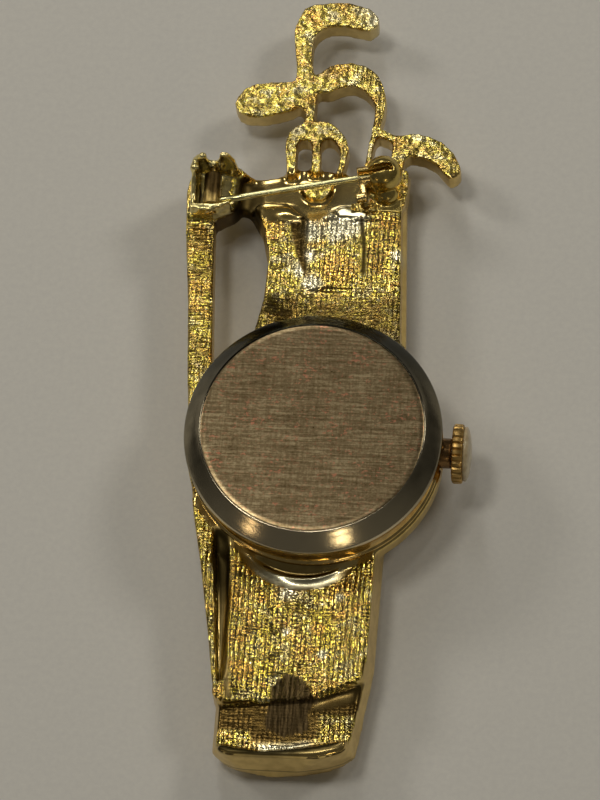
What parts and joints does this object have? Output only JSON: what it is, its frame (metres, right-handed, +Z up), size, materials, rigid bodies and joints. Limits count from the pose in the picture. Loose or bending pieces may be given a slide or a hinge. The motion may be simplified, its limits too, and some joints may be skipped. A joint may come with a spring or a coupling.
{
  "type": "brooch watch",
  "caption": "Cast golf-bag brooch with a round watch set in its middle, a hinged pin with a turning safety catch on its back and a fluted crown at the side.",
  "frame": {"origin": "on the table under the middle of the whole part", "axes": "+X towards the crown, +Y along the bag towards the clubs, +Z up from the table towards the watch's back"},
  "size_m": [0.0264, 0.072, 0.0094],
  "materials": {
    "casting": "gold plated, brushed and textured on the back",
    "case_middle": "polished gold plate",
    "case_back": "brushed disc in a polished bevel",
    "crystal": "clear",
    "dial": "satin",
    "movement": "satin",
    "hour_hand": "gloss",
    "minute_hand": "gloss",
    "centre_arbor": "satin",
    "winding_stem": "polished",
    "crown": "polished gold plate",
    "crown_cap": "pale ivory, smooth",
    "pin_stem": "polished gold plate",
    "hinge_rivet": "polished gold plate",
    "catch_sleeve": "polished gold plate"
  },
  "bodies": {
    "brooch": {"casting": "casting", "case_middle": "case_middle", "case_back": "case_back", "crystal": "crystal", "dial": "dial", "movement": "movement", "hinge_rivet": "hinge_rivet"},
    "pin": {"pin_stem": "pin_stem"},
    "sleeve": {"catch_sleeve": "catch_sleeve"},
    "stem": {"winding_stem": "winding_stem"},
    "crown": {"crown": "crown", "crown_cap": "crown_cap"},
    "minute_hand": {"minute_hand": "minute_hand", "centre_arbor": "centre_arbor"},
    "hour_hand": {"hour_hand": "hour_hand"}
  },
  "joints": [
    {"name": "pin_hinge", "type": "hinge", "parent": "brooch", "child": "pin", "pos_m": [-0.0108, 0.01475, 0.0062], "axis": [0, -1, 0], "range_deg": [0, 100]},
    {"name": "catch_turn", "type": "hinge", "parent": "brooch", "child": "sleeve", "pos_m": [0.00404, 0.01804, 0.0062], "axis": [-0.9763, -0.2164, 0], "range_deg": [0, 110]},
    {"name": "crown_pull", "type": "slide", "parent": "brooch", "child": "stem", "axis": [1, 0, 0], "range_m": [0, 0.0008]},
    {"name": "crown_turn", "type": "hinge", "parent": "stem", "child": "crown", "pos_m": [0.0121, -0.00755, 0.0049], "axis": [1, 0, 0], "continuous": true},
    {"name": "minute_hand_turn", "type": "hinge", "parent": "brooch", "child": "minute_hand", "pos_m": [-0.0002, -0.00755, 0.0021], "axis": [0, 0, 1], "continuous": true},
    {"name": "hour_hand_turn", "type": "hinge", "parent": "brooch", "child": "hour_hand", "pos_m": [-0.0002, -0.00755, 0.00235], "axis": [0, 0, 1], "continuous": true}
  ],
  "couplings": [
    {"joint": "hour_hand_turn", "follows": "minute_hand_turn", "ratio": 0.083333}
  ]
}
